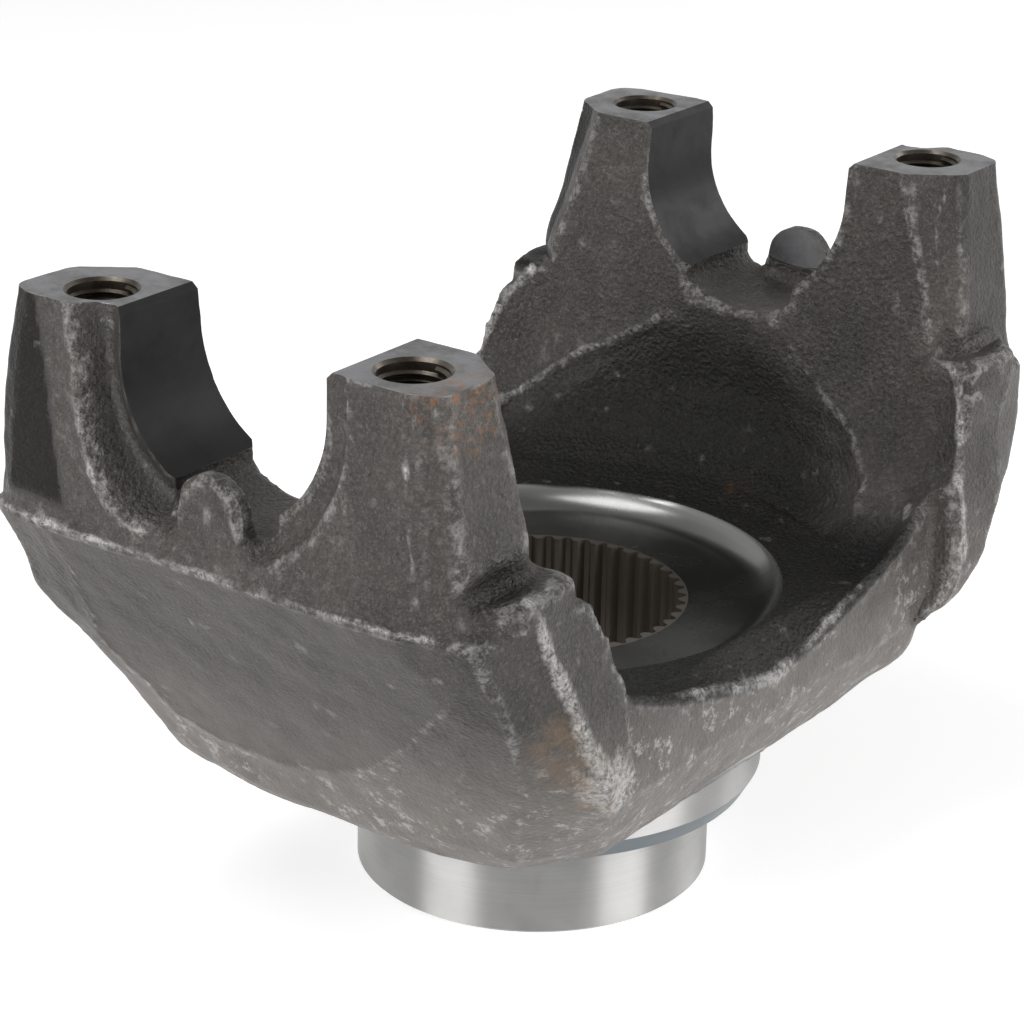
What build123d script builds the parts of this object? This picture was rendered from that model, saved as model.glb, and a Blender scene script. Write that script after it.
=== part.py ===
from build123d import *
from math import cos, radians, sin, sqrt
import os

os.makedirs("parts", exist_ok=True)

# Half-round end yoke: one steel forging, partly machined. Millimetres, +Z up.
# The origin is the centre of the hub's end face. X runs through both ears, along
# the line of the bearing cups. Heights are measured from the hub's end face.

# turned hub and collar
hub_radius = 36.4
hub_edge = 0.6
collar_radius = 46.7
collar_height = 20.9
collar_edge_width = 2.2
collar_edge_height = 3.9
collar_top = 40.0

# splined bore and the dish turned round its inner mouth
spline_teeth = 46
spline_minor_radius = 28.6
spline_depth = 1.6
space_half_angle_bottom = 2.65
space_half_angle_top = 1.0
bore_edge = 2.0
dish_height = 58.4
dish_floor_radius = 43.0
dish_rim_radius = 49.4
dish_fillet = 7.0
dish_sweep = 60.0
DISH_FLATS = 2

# strap faces, bearing seats and tapped holes
strap_face_height = 136.9
seat_centre_height = 128.8
seat_radius = 24.6
seat_edge = 1.2
bolt_half_spacing_x = 86.5
bolt_half_spacing_y = 35.45
tap_radius = 5.75
tap_depth = 27.0
tap_mouth_radius = 7.0
tap_point = 3.0

# as-forged relief under each seat and the step round the seat's outer end
relief_half_width = 13.3
relief_side_height = 104.5
relief_floor_height = 100.2
step_radius = 31.3
step_half_gap = 96.2
step_fillet = 2.5

# locating tab at the outer end of each seat
tab_inner_x = 95.85
tab_outer_x = 99.4
tab_half_width = 7.6
tab_foot_half_width = 9.5
tab_side_height = 106.0
tab_top_height = 113.0
tab_foot_height = 92.0

# body below the die parting line, lofted through plan outlines. Each row holds the
# height, the half length, and the corners where the end face and the wing side start.
parting_height = 95.0
body_bottom_height = 24.0
BODY_ROWS = (
    (body_bottom_height, 50.0, (44.5, 21.5), (29.0, 36.5)),
    (29.5, 61.0, (55.5, 34.5), (40.0, 45.2)),
    (36.0, 67.4, (62.4, 41.4), (46.3, 51.0)),
    (45.0, 72.7, (67.6, 45.0), (55.0, 57.2)),
    (52.0, 79.5, (71.2, 47.6), (61.8, 62.3)),
    (60.0, 86.5, (76.2, 52.0), (67.5, 64.2)),
    (75.0, 93.0, (87.2, 57.2), (72.4, 62.2)),
    (85.0, 99.2, (92.2, 57.2), (76.2, 60.7)),
    (parting_height, 106.0, (96.7, 55.7), (84.4, 59.8)),
)

# flat the body carries across each end, from the parting line down
end_flat_top_x = 101.0
end_flat_slope = 0.6

# wall between the wings: how far the side stands out at each height
WALL_PROFILE = (
    (37.0, 24.8),
    (44.2, 29.4),
    (46.8, 31.7),
    (53.0, 40.0),
    (57.0, 48.5),
)
wall_half_width = 57.0
wall_half_length = 57.5

# ears: at each height, the half gap between them, where the inner face ends, the
# side face's two ends, the half width, the outer corner and the outer face
EAR_ROWS = (
    (parting_height, 69.0, 49.0, 74.0, 95.4, 54.4, (98.4, 48.5), 100.8),
    (strap_face_height, 73.0, 38.0, 80.4, 94.2, 48.0, (96.5, 43.0), 96.8),
)

ear_corner_radius = 3.0

# shoulders where the wings end beside the ears
shoulder_height = 101.0
SHOULDER_OUTLINE = (
    (66.0, 45.0),
    (68.0, 54.5),
    (70.0, 58.5),
    (79.0, 60.2),
    (86.5, 59.8),
    (90.0, 57.5),
    (93.0, 51.0),
    (93.0, 45.0),
)

# hollow between the ears: a round bowl, the gap between the ears, and the open sides
# where that gap falls away from the dish to the lip
bowl_radius = 73.4
bowl_top_radius = 70.8
bowl_top_height = 102.0
bowl_fillet = 18.0
BOWL_FLATS = 4
floor_height = 62.7
GAP_PROFILE = (
    (0.0, floor_height),
    (35.0, floor_height),
    (45.0, 63.2),
    (53.0, 67.0),
    (60.0, 74.0),
    (65.5, 81.0),
    (68.8, 88.0),
    (70.4, 99.0),
    (71.2, 110.0),
    (73.3, strap_face_height),
)
LIP_PROFILE = (
    (0.0, 52.5),
    (26.0, 62.0),
    (38.5, 68.5),
    (50.0, 74.0),
    (58.5, 78.0),
    (62.0, 85.0),
    (64.5, 92.0),
    (68.0, 99.0),
    (71.5, 110.0),
    (73.3, strap_face_height),
)
gap_half_width = 50.4
lip_y = 60.0
reach = 160.0

spline_major_radius = spline_minor_radius + spline_depth
seat_end_height = seat_centre_height - sqrt(seat_radius**2 - relief_half_width**2)


def polar(radius, degrees):
    """Point at a radius and an angle from the X axis."""
    return (radius * cos(radians(degrees)), radius * sin(radians(degrees)))


def blend(wall_radius, floor, radius, sweep, flats):
    """Rounding from a floor into a wall, as short flats over an angle in degrees."""
    steps = [radians(sweep * i / flats) for i in range(flats + 1)]
    return [(wall_radius - radius + radius * sin(a), floor + radius - radius * cos(a)) for a in steps]


SPACE_CORNERS = (
    polar(spline_minor_radius - 1, -space_half_angle_bottom),
    polar(spline_minor_radius, -space_half_angle_bottom),
    polar(spline_major_radius, -space_half_angle_top),
    polar(spline_major_radius, space_half_angle_top),
    polar(spline_minor_radius, space_half_angle_bottom),
    polar(spline_minor_radius - 1, space_half_angle_bottom),
)


def mirrored(points):
    """The same points on the other side of the middle, in reverse order."""
    return [(-x, z) for x, z in reversed(points)]


def body_outline(half_length, end_corner, side_corner):
    """Closed outline of the forged body at one height."""
    ex, ey = end_corner
    sx, sy = side_corner
    ThreePointArc((ex, -ey), (half_length, 0), (ex, ey))
    Polyline((ex, ey), (sx, sy), (-sx, sy), (-ex, ey))
    ThreePointArc((-ex, ey), (-half_length, 0), (-ex, -ey))
    Polyline((-ex, -ey), (-sx, -sy), (sx, -sy), (ex, -ey))


def ear_outline(inner_x, inner_y, side_in, side_out, half_width, corner, outer_x):
    """Closed outline of one ear at one height, bowed on its outer face."""
    cx, cy = corner
    ThreePointArc((cx, -cy), (outer_x, 0), (cx, cy))
    Polyline((cx, cy), (side_out, half_width), (side_in, half_width), (inner_x, inner_y))
    Polyline((inner_x, inner_y), (inner_x, -inner_y), (side_in, -half_width))
    Polyline((side_in, -half_width), (side_out, -half_width), (cx, -cy))


def open_top(profile):
    """Closed outline of a smooth cut that is open upwards."""
    x = profile[-1][0]
    Spline(*mirrored(profile[1:]), *profile)
    Polyline(profile[-1], (x, reach), (-x, reach), (-x, profile[-1][1]))


# one ear, modelled at +X, with its upright corners rounded
with BuildPart() as ear:
    for height, inner_x, inner_y, side_in, side_out, half_width, corner, outer_x in EAR_ROWS:
        with BuildSketch(Plane.XY.offset(height)):
            with BuildLine():
                ear_outline(inner_x, inner_y, side_in, side_out, half_width, corner, outer_x)
            make_face()
    loft(ruled=True)
    uprights = ear.edges().filter_by(lambda e: abs(e.tangent_at(0.5).Z) > 0.8)
    fillet(uprights, ear_corner_radius)
    with BuildSketch(Plane.XY.offset(parting_height)):
        with BuildLine():
            Polyline(*SHOULDER_OUTLINE, close=True)
        make_face()
        mirror(about=Plane.XZ)
    extrude(amount=shoulder_height - parting_height)

with BuildPart() as forged_yoke:
    # forged body below the parting line
    for height, half_length, end_corner, side_corner in BODY_ROWS:
        with BuildSketch(Plane.XY.offset(height)):
            with BuildLine():
                body_outline(half_length, end_corner, side_corner)
            make_face()
    loft(ruled=True)

    # wall between the wings, hollowed back on both sides
    with BuildSketch(Plane.YZ.offset(-wall_half_length)):
        with BuildLine():
            Polyline(
                *WALL_PROFILE,
                (wall_half_width, reach),
                (reach, reach),
                (reach, 0),
                (WALL_PROFILE[0][0], 0),
                close=True,
            )
        make_face()
        mirror(about=Plane.YZ)
    extrude(amount=2 * wall_half_length, mode=Mode.SUBTRACT)

    # turned hub and collar
    with BuildSketch(Plane.XZ):
        with BuildLine():
            Polyline(
                (0, 0),
                (hub_radius - hub_edge, 0),
                (hub_radius, hub_edge),
                (hub_radius, collar_height),
                (collar_radius - collar_edge_width, collar_height),
                (collar_radius, collar_height + collar_edge_height),
                (collar_radius, collar_top),
                (0, collar_top),
                close=True,
            )
        make_face()
    revolve(axis=Axis.Z)

    # both ears
    add(ear.part)
    add(ear.part.mirror(Plane.YZ))

    # flat across each end of the body
    flat_drop = parting_height - body_bottom_height
    with BuildSketch(Plane.XZ.offset(-reach)):
        with BuildLine():
            Polyline(
                (end_flat_top_x, parting_height),
                (end_flat_top_x - end_flat_slope * flat_drop, body_bottom_height),
                (reach, body_bottom_height),
                (reach, parting_height),
                close=True,
            )
        make_face()
        mirror(about=Plane.YZ)
    extrude(amount=2 * reach, mode=Mode.SUBTRACT)

    # hollow between the ears: a round bowl, then the gap between the ears
    with BuildSketch(Plane.XZ):
        with BuildLine():
            Polyline(
                (0, floor_height),
                *blend(bowl_radius, floor_height, bowl_fillet, 90, BOWL_FLATS),
                (bowl_top_radius, bowl_top_height),
                (bowl_top_radius, reach),
                (0, reach),
                close=True,
            )
        make_face()
    revolve(axis=Axis.Z, mode=Mode.SUBTRACT)
    with BuildSketch(Plane.XZ.offset(-gap_half_width)):
        with BuildLine():
            open_top(GAP_PROFILE)
        make_face()
    extrude(amount=2 * gap_half_width, mode=Mode.SUBTRACT)
    for side in (1, -1):
        for y, profile in ((gap_half_width, GAP_PROFILE), (lip_y, LIP_PROFILE)):
            with BuildSketch(Plane.XZ.offset(side * y)):
                with BuildLine():
                    open_top(profile)
                make_face()
        loft(ruled=True, mode=Mode.SUBTRACT)
        with BuildSketch(Plane.XZ.offset(side * lip_y)):
            with BuildLine():
                open_top(LIP_PROFILE)
            make_face()
        extrude(amount=side * (reach - lip_y), mode=Mode.SUBTRACT)

    # dish turned into the floor
    with BuildSketch(Plane.XZ):
        with BuildLine():
            Polyline(
                (0, dish_height),
                *blend(dish_floor_radius + dish_fillet, dish_height, dish_fillet, dish_sweep, DISH_FLATS),
                (dish_rim_radius, floor_height),
                (dish_rim_radius, floor_height + dish_fillet),
                (0, floor_height + dish_fillet),
                close=True,
            )
        make_face()
    revolve(axis=Axis.Z, mode=Mode.SUBTRACT)

    # splined bore
    with BuildSketch(Plane.XY):
        Circle(spline_minor_radius)
        with PolarLocations(0, spline_teeth):
            Polygon(*SPACE_CORNERS, align=None)
    extrude(amount=dish_height, mode=Mode.SUBTRACT)
    with Locations((0, 0, 0)):
        Cone(
            bottom_radius=spline_minor_radius + bore_edge,
            top_radius=spline_minor_radius,
            height=bore_edge,
            align=(Align.CENTER, Align.CENTER, Align.MIN),
            mode=Mode.SUBTRACT,
        )

    # bearing seats with the relief below them, cut across both ears
    with BuildSketch(Plane.YZ.offset(-reach)):
        with BuildLine():
            ThreePointArc(
                (-relief_half_width, relief_side_height),
                (0, relief_floor_height),
                (relief_half_width, relief_side_height),
            )
            Line((relief_half_width, relief_side_height), (relief_half_width, seat_end_height))
            RadiusArc(
                (relief_half_width, seat_end_height),
                (seat_radius, seat_centre_height),
                -seat_radius,
            )
            Polyline(
                (seat_radius, seat_centre_height),
                (seat_radius, strap_face_height - seat_edge),
                (seat_radius + seat_edge, strap_face_height),
                (seat_radius + seat_edge, reach),
                (-seat_radius - seat_edge, reach),
                (-seat_radius - seat_edge, strap_face_height),
                (-seat_radius, strap_face_height - seat_edge),
                (-seat_radius, seat_centre_height),
            )
            RadiusArc(
                (-seat_radius, seat_centre_height),
                (-relief_half_width, seat_end_height),
                -seat_radius,
            )
            Line((-relief_half_width, seat_end_height), (-relief_half_width, relief_side_height))
        make_face()
    extrude(amount=2 * reach, mode=Mode.SUBTRACT)

    # step round the outer end of each seat
    with BuildSketch(Plane.XZ):
        with BuildLine():
            Polyline(
                (step_half_gap, seat_centre_height),
                (step_half_gap, seat_centre_height + step_radius - step_fillet),
                (step_half_gap + step_fillet, seat_centre_height + step_radius),
                (reach, seat_centre_height + step_radius),
                (reach, seat_centre_height),
                close=True,
            )
        make_face()
        mirror(about=Plane.YZ)
    revolve(axis=Axis((0, 0, seat_centre_height), (1, 0, 0)), mode=Mode.SUBTRACT)

    # locating tab at the outer end of each seat
    for plane in (Plane.YZ.offset(tab_inner_x), Plane.YZ.offset(-tab_outer_x)):
        with BuildSketch(plane):
            with BuildLine():
                Line((-tab_foot_half_width, tab_foot_height), (tab_foot_half_width, tab_foot_height))
                Line((tab_foot_half_width, tab_foot_height), (tab_half_width, tab_side_height))
                ThreePointArc(
                    (tab_half_width, tab_side_height),
                    (0, tab_top_height),
                    (-tab_half_width, tab_side_height),
                )
                Line((-tab_half_width, tab_side_height), (-tab_foot_half_width, tab_foot_height))
            make_face()
        extrude(amount=tab_outer_x - tab_inner_x)

    # tapped holes, each with a countersunk mouth
    for x in (bolt_half_spacing_x, -bolt_half_spacing_x):
        for y in (bolt_half_spacing_y, -bolt_half_spacing_y):
            with Locations((x, y, strap_face_height)):
                Cylinder(
                    tap_radius,
                    tap_depth,
                    align=(Align.CENTER, Align.CENTER, Align.MAX),
                    mode=Mode.SUBTRACT,
                )
                Cone(
                    bottom_radius=tap_radius,
                    top_radius=tap_mouth_radius,
                    height=tap_mouth_radius - tap_radius,
                    align=(Align.CENTER, Align.CENTER, Align.MAX),
                    mode=Mode.SUBTRACT,
                )
            with Locations((x, y, strap_face_height - tap_depth)):
                Cone(
                    bottom_radius=0,
                    top_radius=tap_radius,
                    height=tap_point,
                    align=(Align.CENTER, Align.CENTER, Align.MAX),
                    mode=Mode.SUBTRACT,
                )

forged_yoke.part.label = "forged_yoke"
export_step(forged_yoke.part, "parts/forged_yoke.step")
print("volume", forged_yoke.part.volume, "solids", len(forged_yoke.part.solids()))
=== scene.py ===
import math

import bmesh
import bpy
import numpy as np
from mathutils import Matrix, Vector, noise
from mathutils.bvhtree import BVHTree


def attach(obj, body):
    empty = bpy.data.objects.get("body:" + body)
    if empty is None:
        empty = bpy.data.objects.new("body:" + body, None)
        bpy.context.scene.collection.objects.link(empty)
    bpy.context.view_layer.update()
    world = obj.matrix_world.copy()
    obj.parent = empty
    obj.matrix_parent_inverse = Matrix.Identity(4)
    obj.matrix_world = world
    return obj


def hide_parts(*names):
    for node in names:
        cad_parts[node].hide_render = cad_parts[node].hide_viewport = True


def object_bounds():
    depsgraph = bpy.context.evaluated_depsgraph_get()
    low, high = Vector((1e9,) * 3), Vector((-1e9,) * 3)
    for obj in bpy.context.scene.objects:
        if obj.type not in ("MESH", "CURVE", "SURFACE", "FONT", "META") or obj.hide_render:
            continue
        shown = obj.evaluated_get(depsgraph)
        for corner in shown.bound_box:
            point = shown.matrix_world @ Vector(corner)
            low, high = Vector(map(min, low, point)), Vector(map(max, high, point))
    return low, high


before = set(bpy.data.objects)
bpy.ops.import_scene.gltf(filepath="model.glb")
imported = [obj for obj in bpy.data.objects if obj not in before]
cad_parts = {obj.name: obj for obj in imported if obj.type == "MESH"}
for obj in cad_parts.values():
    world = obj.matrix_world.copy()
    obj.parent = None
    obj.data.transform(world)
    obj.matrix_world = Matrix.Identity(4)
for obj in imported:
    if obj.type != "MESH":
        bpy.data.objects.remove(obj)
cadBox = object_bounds()
mm = 0.001
print("frame loaded, box", [round(v, 4) for corner in cadBox for v in corner])

# sizes that several pieces share, in millimetres, as on the solid
yoke = {
    "strapFace": 136.9,
    "seatCentre": 128.8,
    "seatRadius": 24.6,
    "seatEdge": 1.2,
    "tabInner": 95.85,
    "tabFoot": 103.0,
    "boltX": 86.5,
    "boltY": 35.45,
    "splineRoot": 30.2,
    "splineTip": 28.6,
    "liningRadius": 30.6,
    "dishFloor": 58.4,
    "dishFloorRadius": 43.0,
    "dishRimRadius": 49.4,
    "bowlFloor": 62.7,
    "hubRadius": 36.4,
    "collarRadius": 46.7,
    "collarHeight": 20.9,
}
boltPlaces = [(x, y) for x in (-yoke["boltX"], yoke["boltX"]) for y in (-yoke["boltY"], yoke["boltY"])]


# mesh helpers

def newPiece(name, bm):
    mesh = bpy.data.meshes.new(name)
    bm.to_mesh(mesh)
    bm.free()
    piece = bpy.data.objects.new(name, mesh)
    bpy.context.scene.collection.objects.link(piece)
    return piece


def outwards(bm, merge=1e-6):
    bmesh.ops.remove_doubles(bm, verts=bm.verts, dist=merge)
    bmesh.ops.recalc_face_normals(bm, faces=bm.faces)


# Closed loop of edges through points in millimetres
def outline(bm, points):
    verts = [bm.verts.new(Vector(p) * mm) for p in points]
    edges = [bm.edges.new((a, b)) for a, b in zip(verts, verts[1:] + verts[:1])]
    return verts, edges


# Closed profile of (radius, height) turned round the upright axis
def lathe(bm, profile, steps):
    verts, edges = outline(bm, [(r, 0, z) for r, z in profile])
    bmesh.ops.spin(bm, geom=verts + edges, cent=(0, 0, 0), axis=(0, 0, 1), dvec=(0, 0, 0),
                   angle=2 * math.pi, steps=steps, use_merge=True)
    outwards(bm)


# Closed profile of (y, z) drawn out along X
def prismAlongX(bm, profile, low, high):
    verts, _ = outline(bm, [(low, y, z) for y, z in profile])
    face = bm.faces.new(verts)
    grown = bmesh.ops.extrude_face_region(bm, geom=[face])["geom"]
    moved = [v for v in grown if isinstance(v, bmesh.types.BMVert)]
    bmesh.ops.translate(bm, verts=moved, vec=((high - low) * mm, 0, 0))


# Points along an arc, angles in degrees from the first axis
def arcPoints(centre, radius, start, end, count):
    angles = [math.radians(start + (end - start) * i / count) for i in range(count + 1)]
    return [(centre[0] + radius * math.cos(a), centre[1] + radius * math.sin(a)) for a in angles]


# Cuts one closed piece out of another and deletes the cutter
def takeAway(piece, cutter):
    cut = piece.modifiers.new("cut", "BOOLEAN")
    cut.operation = "DIFFERENCE"
    cut.solver = "MANIFOLD"
    cut.object = cutter
    bpy.context.view_layer.update()
    evaluated = piece.evaluated_get(bpy.context.evaluated_depsgraph_get())
    mesh = bpy.data.meshes.new_from_object(evaluated)
    mesh.name = piece.name
    piece.modifiers.clear()
    piece.data = mesh
    bpy.data.objects.remove(cutter)


# One value or vector from every element of a mesh
def readAll(elements, name, width=1, kind=float):
    values = np.zeros(len(elements) * width, dtype=kind)
    elements.foreach_get(name, values)
    return values.reshape(-1, width) if width > 1 else values


def readPoints(mesh):
    return readAll(mesh.vertices, "co", 3)


def readNormals(mesh):
    return readAll(mesh.vertex_normals, "vector", 3)


def edgePairs(mesh):
    return readAll(mesh.edges, "vertices", 2, np.int32)


def writePoints(mesh, points):
    mesh.vertices.foreach_set("co", points.reshape(-1))
    mesh.update()


# The points after each has moved part of the way to the middle of its neighbours
def relaxed(points, pairs, rounds, factor=0.5):
    count = np.bincount(pairs.reshape(-1), minlength=len(points)).astype(float)[:, None]
    for _ in range(rounds):
        total = np.zeros_like(points)
        np.add.at(total, pairs[:, 0], points[pairs[:, 1]])
        np.add.at(total, pairs[:, 1], points[pairs[:, 0]])
        points = points + factor * (total / np.maximum(count, 1) - points)
    return points


# Smooth noise in -1..1 at each point, with features of about the given size in millimetres
def grain(points, size, seed, octaves=3):
    shift = Vector((seed * 13.7, seed * 7.3, seed * 3.1))
    scale = 1 / (size * mm)
    return np.array([noise.fractal(Vector(p) * scale + shift, 0.9, 2.0, octaves) for p in points])


# Goes smoothly from 0 at the first bound to 1 at the second
def smooth(start, end, values):
    t = np.clip((values - start) / (end - start), 0, 1)
    return t * t * (3 - 2 * t)


# Distance in millimetres from each point to a broken line in as many axes as it has
def lineDistance(points, line):
    line = np.array(line, dtype=float)
    best = np.full(len(points), 1e9)
    for a, b in zip(line[:-1], line[1:]):
        along = b - a
        t = np.clip(((points - a) @ along) / (along @ along), 0, 1)
        best = np.minimum(best, np.linalg.norm(points - (a + t[:, None] * along), axis=1))
    return best


# forging
forging = {
    "voxel": 1.1,
    "spareMetal": 2.0,
    "tabSpare": 2.2,
    "plug": {"radius": 8.0, "middle": 121.5, "length": 34},
    "edgeRounds": 7,
    "roundFrom": 0.55,
    "roundBand": 0.3,
    "tabFootRounds": 14,
    "unevenness": 0.24,
    "scalePits": 0.15,
    "flashHeight": 0.60,
    "lipHeight": 0.55,
    "trenchDepth": 4.0,
    "scoopDepth": 2.0,
    "ridgeHeight": 0.6,
    "collarSkin": 45.6,
    "flatStep": 0.55,
    "flatLip": 0.25,
    "endStart": 44,
    "endSlope": 0.6,
    "boxMargin": 0.02,
}

# flash lines of the die on the near and far right horns; the other two horns mirror them
nearFlash = [(-85.4, -58.4, 101.1), (-82.8, -59.9, 95.6), (-79.1, -60.3, 87.2), (-75.1, -61.2, 79.3),
             (-71.1, -62.4, 69.5), (-65.7, -64.1, 60.4)]
farFlash = [(69.9, -53.2, 99.7), (68.7, -55.9, 96.4), (64.7, -58.6, 90.6), (61.3, -60.9, 83.4),
            (61.1, -62.1, 75), (60.8, -63.7, 63.3)]
farSeams = [[(73.2, -36.5, 137), (72.2, -40.3, 126.7), (71.7, -45.2, 113.7), (70.3, -46, 98.8)],
            [(78.2, -45, 137), (75.3, -44.8, 126.9), (71.8, -49, 102.8)]]
nearSeams = [[(-97, -41, 137), (-97.5, -43, 117), (-98.5, -45.5, 101)],
             [(-98, -29.5, 128), (-98.5, -30.5, 112), (-100, -31, 101)]]
endFlash = [(-49, 95.2), (-37, 95), (-13, 94.6), (13, 94.9), (37, 95.3), (52, 95)]
# outline of the smooth flat under an ear as y and height
endFlat = [(37.5, 93.7), (37.4, 85.4), (40, 75), (41.8, 64.1), (35.1, 55.9), (33.2, 49.3), (22.6, 45.4),
           (7.2, 44.4), (-5.4, 47.5), (-17.5, 52.9), (-32.6, 65.3), (-46.7, 79.4), (-55.6, 89.8),
           (-62.4, 99.2)]
# ragged trimmed edge of the throat, x, |y| and height
throatLip = [(-57, 52, 73), (-47, 54, 71), (-38.5, 56, 67.5), (-26, 57, 62.5), (-12, 57.5, 58.5),
             (0, 57.5, 55.5), (12, 57.5, 58.5), (26, 57, 62.5), (38.5, 56, 67.5), (47, 54, 71), (57, 52, 72)]
# worn foot where the near flash ends, its middle and reach
nearFoot = ((-64.5, -63.5, 57.5), (7, 4, 5.5))
# ridge round the end of each seat as angle from straight down and radius
seatRidge = [(0, 30), (22.5, 31.4), (32.4, 34.6), (41.4, 35.3), (52.1, 35), (64.2, 33.5), (83.3, 31.9),
             (99.5, 35), (130, 40)]
# upper edge of the scoop in each ear as y and height
scoopEdge = [(-60, 50), (-44, 63), (-37, 70), (-22, 79), (-12, 89), (-2, 98), (9, 99.5), (19, 95), (28, 89),
             (38, 84), (45, 78), (52, 72), (60, 60)]

# how the real forging leaves the symmetric solid: middle, reach and shift of each swell
swells = [
    ((-95, 49, 120), (20, 16, 24), (-0.4, 1.7, 0)),
    ((-91, 58, 83), (16, 12, 9), (0, -3.6, 0)),
    ((-79, 51, 63), (12, 12, 6), (0, -1.8, 0)),
    ((-64, 26, 34), (12, 16, 6), (-1.0, 1.0, 0)),
    ((-61, 4, 29), (10, 12, 4), (0, 0, 0.9)),
    ((74, -60, 71), (14, 10, 11), (4.5, -0.8, 0)),
    ((88, -57, 80), (9, 9, 8), (1.8, -0.8, 0)),
    ((90, -58, 101), (8, 8, 4), (-1.0, 0.8, 0)),
    ((58, -61, 49.5), (7, 9, 4), (-2.0, 1.4, 0)),
    ((52, -54, 41), (8, 9, 5), (2.0, -1.6, 0)),
    ((75, 52, 106), (9, 10, 7), (-1.0, 1.2, 0)),
    ((97, 28, 131), (8, 8, 9), (1.6, 0, 0)),
    ((-85, -53.5, 102), (12, 3.8, 3.2), (0, 2.8, -2.0)),
    ((-85, 53.5, 101.7), (11, 3.5, 3.5), (0, -1.8, -1.2)),
    ((77, -51.5, 101.5), (8, 4, 4), (0.4, 2.2, -1.6)),
    ((77, 51.5, 101.5), (8, 4, 4), (0.4, -1.8, -1.2)),
]


# The solid as one even skin, with spare metal where it is machined later
def forgingBlank():
    bm = bmesh.new()
    bm.from_mesh(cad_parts["forged_yoke"].data)
    bmesh.ops.remove_doubles(bm, verts=bm.verts, dist=1e-6)
    spare = forging["spareMetal"]
    for v in bm.verts:
        x, y, z = v.co / mm
        if math.hypot(x, y) < yoke["dishRimRadius"] + 0.1 and 57 < z < yoke["bowlFloor"] + 0.05:
            v.co.z = yoke["bowlFloor"] * mm
        if abs(x) > 68 and z > 100:
            if z > yoke["strapFace"] - 0.05:
                v.co.z += spare * mm
            arc = math.hypot(y, z - yoke["seatCentre"])
            onArc = z <= yoke["seatCentre"] + 0.05 and abs(arc - yoke["seatRadius"]) < 0.06
            beyond = abs(y) - yoke["seatRadius"]
            onWall = z > yoke["seatCentre"] and -0.06 < beyond < yoke["seatEdge"] + 0.06
            if onArc:
                keep = 1 - spare / arc
                v.co.y = y * keep * mm
                v.co.z = (yoke["seatCentre"] + (z - yoke["seatCentre"]) * keep) * mm
            elif onWall:
                v.co.y = math.copysign(yoke["seatRadius"] - spare, y) * mm
            if abs(abs(x) - yoke["tabInner"]) < 0.05 and abs(y) < 12 and z > yoke["tabFoot"]:
                v.co.x = math.copysign(yoke["tabInner"] - forging["tabSpare"], x) * mm
    # plugs fill the bolt holes until they are drilled
    plug = forging["plug"]
    for x, y in boltPlaces:
        place = Matrix.Translation(Vector((x, y, plug["middle"])) * mm)
        bmesh.ops.create_cone(bm, cap_ends=True, segments=24, radius1=plug["radius"] * mm,
                              radius2=plug["radius"] * mm, depth=plug["length"] * mm, matrix=place)
    tree = BVHTree.FromBMesh(bm)
    blank = newPiece("forging_blank", bm)
    even = blank.modifiers.new("even", "REMESH")
    even.mode = "VOXEL"
    even.voxel_size = forging["voxel"] * mm
    even.use_smooth_shade = True
    bpy.context.view_layer.update()
    evaluated = blank.evaluated_get(bpy.context.evaluated_depsgraph_get())
    mesh = bpy.data.meshes.new_from_object(evaluated)
    bpy.data.objects.remove(blank)
    return mesh, tree


# Lines of the forging that stand out, each as points and how wide its worn band is
def flashLines():
    lines = []
    for side in (1, -1):
        lines.append(([(x, side * y, z) for x, y, z in nearFlash], 1.8))
        lines.append(([(x, side * y, z) for x, y, z in farFlash], 1.4))
        lines.append(([(x, side * y, z) for x, y, z in throatLip], 1.4))
    lines += [(seam, 0.9) for seam in farSeams + nearSeams]
    return lines


# Which points of a plane lie in the outline of the smooth flat on an end
def inEndFlat(y, z):
    found = np.zeros(len(y), dtype=bool)
    for (a, b), (c, d) in zip(endFlat, endFlat[1:] + endFlat[:1]):
        found ^= ((b > z) != (d > z)) & (y < a + (c - a) * (z - b) / (d - b))
    return found


# How far each point lies outside the flat on its end, below 0 inside, and how near the flat's plane it is
def flatDistance(x, y, z):
    y = -y * np.sign(x)
    apart = lineDistance(np.stack([y, z], 1), endFlat)
    offPlane = np.abs(np.abs(x) - forging["endStart"] - forging["endSlope"] * z)
    return np.where(inEndFlat(y, z), -apart, apart), smooth(3, 1, offPlane) * (z < 94)


# How far each point lies below the upper edge of the scoop in its ear
def belowScoop(x, y, z):
    ys, heights = zip(*scoopEdge)
    return np.interp(y * np.sign(x), ys, heights) - z


# Distance of each point from the seat's axis, and of the ridge round the seat's end in that direction
def seatDistances(y, z):
    drop = yoke["seatCentre"] - z
    angles, radii = zip(*seatRidge)
    return np.hypot(y, drop), np.interp(np.degrees(np.arctan2(np.abs(y), drop)), angles, radii)


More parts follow.
